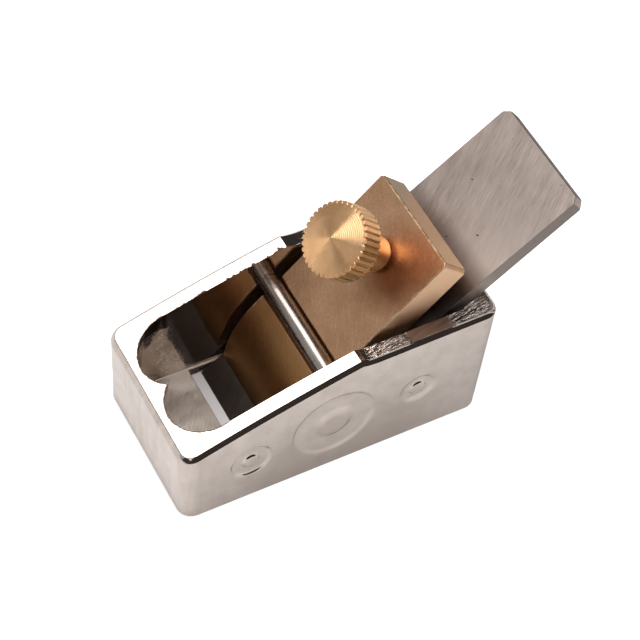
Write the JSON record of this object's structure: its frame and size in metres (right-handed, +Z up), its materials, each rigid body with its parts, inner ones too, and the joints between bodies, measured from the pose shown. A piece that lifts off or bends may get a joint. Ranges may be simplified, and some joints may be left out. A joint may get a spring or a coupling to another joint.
{
  "type": "finger plane",
  "caption": "Palm-sized hand plane: plated body with an open throat, steel blade on a sloping bed, and a brass lever cap with a knurled thumb screw hooked under a cross pin",
  "frame": {"origin": "middle of the body's sole, in the plane of the sole", "axes": "+X from the toe to the heel, +Y to the far side of the body, +Z up from the sole"},
  "size_m": [0.059, 0.024, 0.0372],
  "materials": {
    "plated_body": "polished plating",
    "pin_steel": "polished",
    "blade_steel": "ground across the length",
    "cap_brass": "satin, lightly scratched",
    "screw_brass": "fine turned",
    "stud_brass": "cut thread"
  },
  "bodies": {
    "body": {"plane_body": "plated_body", "cross_pin": "pin_steel"},
    "blade": {"blade": "blade_steel"},
    "lever_cap": {"lever_cap": "cap_brass"},
    "screw_stud": {"screw_stud": "stud_brass"},
    "screw_knob": {"screw_knob": "screw_brass"}
  },
  "joints": [
    {"name": "blade_slide", "type": "slide", "parent": "body", "child": "blade", "axis": [0.7744, 0, 0.6327], "range_m": [-0.0005, 0.03]},
    {"name": "cap_tilt", "type": "hinge", "parent": "body", "child": "lever_cap", "pos_m": [-0.00003, 0, 0.01517], "axis": [0, 1, 0], "range_deg": [0, 7.3]},
    {"name": "screw_travel", "type": "slide", "parent": "lever_cap", "child": "screw_stud", "axis": [-0.7331, 0, 0.6801], "range_m": [0, 0.002]},
    {"name": "screw_turn", "type": "hinge", "parent": "screw_stud", "child": "screw_knob", "pos_m": [0.01033, 0, 0.02652], "axis": [-0.7331, 0, 0.6801], "range_deg": [0, 1028]}
  ],
  "couplings": [
    {"joint": "screw_travel", "follows": "screw_turn", "m_per_rad": 0.00011141},
    {"joint": "cap_tilt", "follows": "screw_turn", "ratio": 0.0070187}
  ]
}
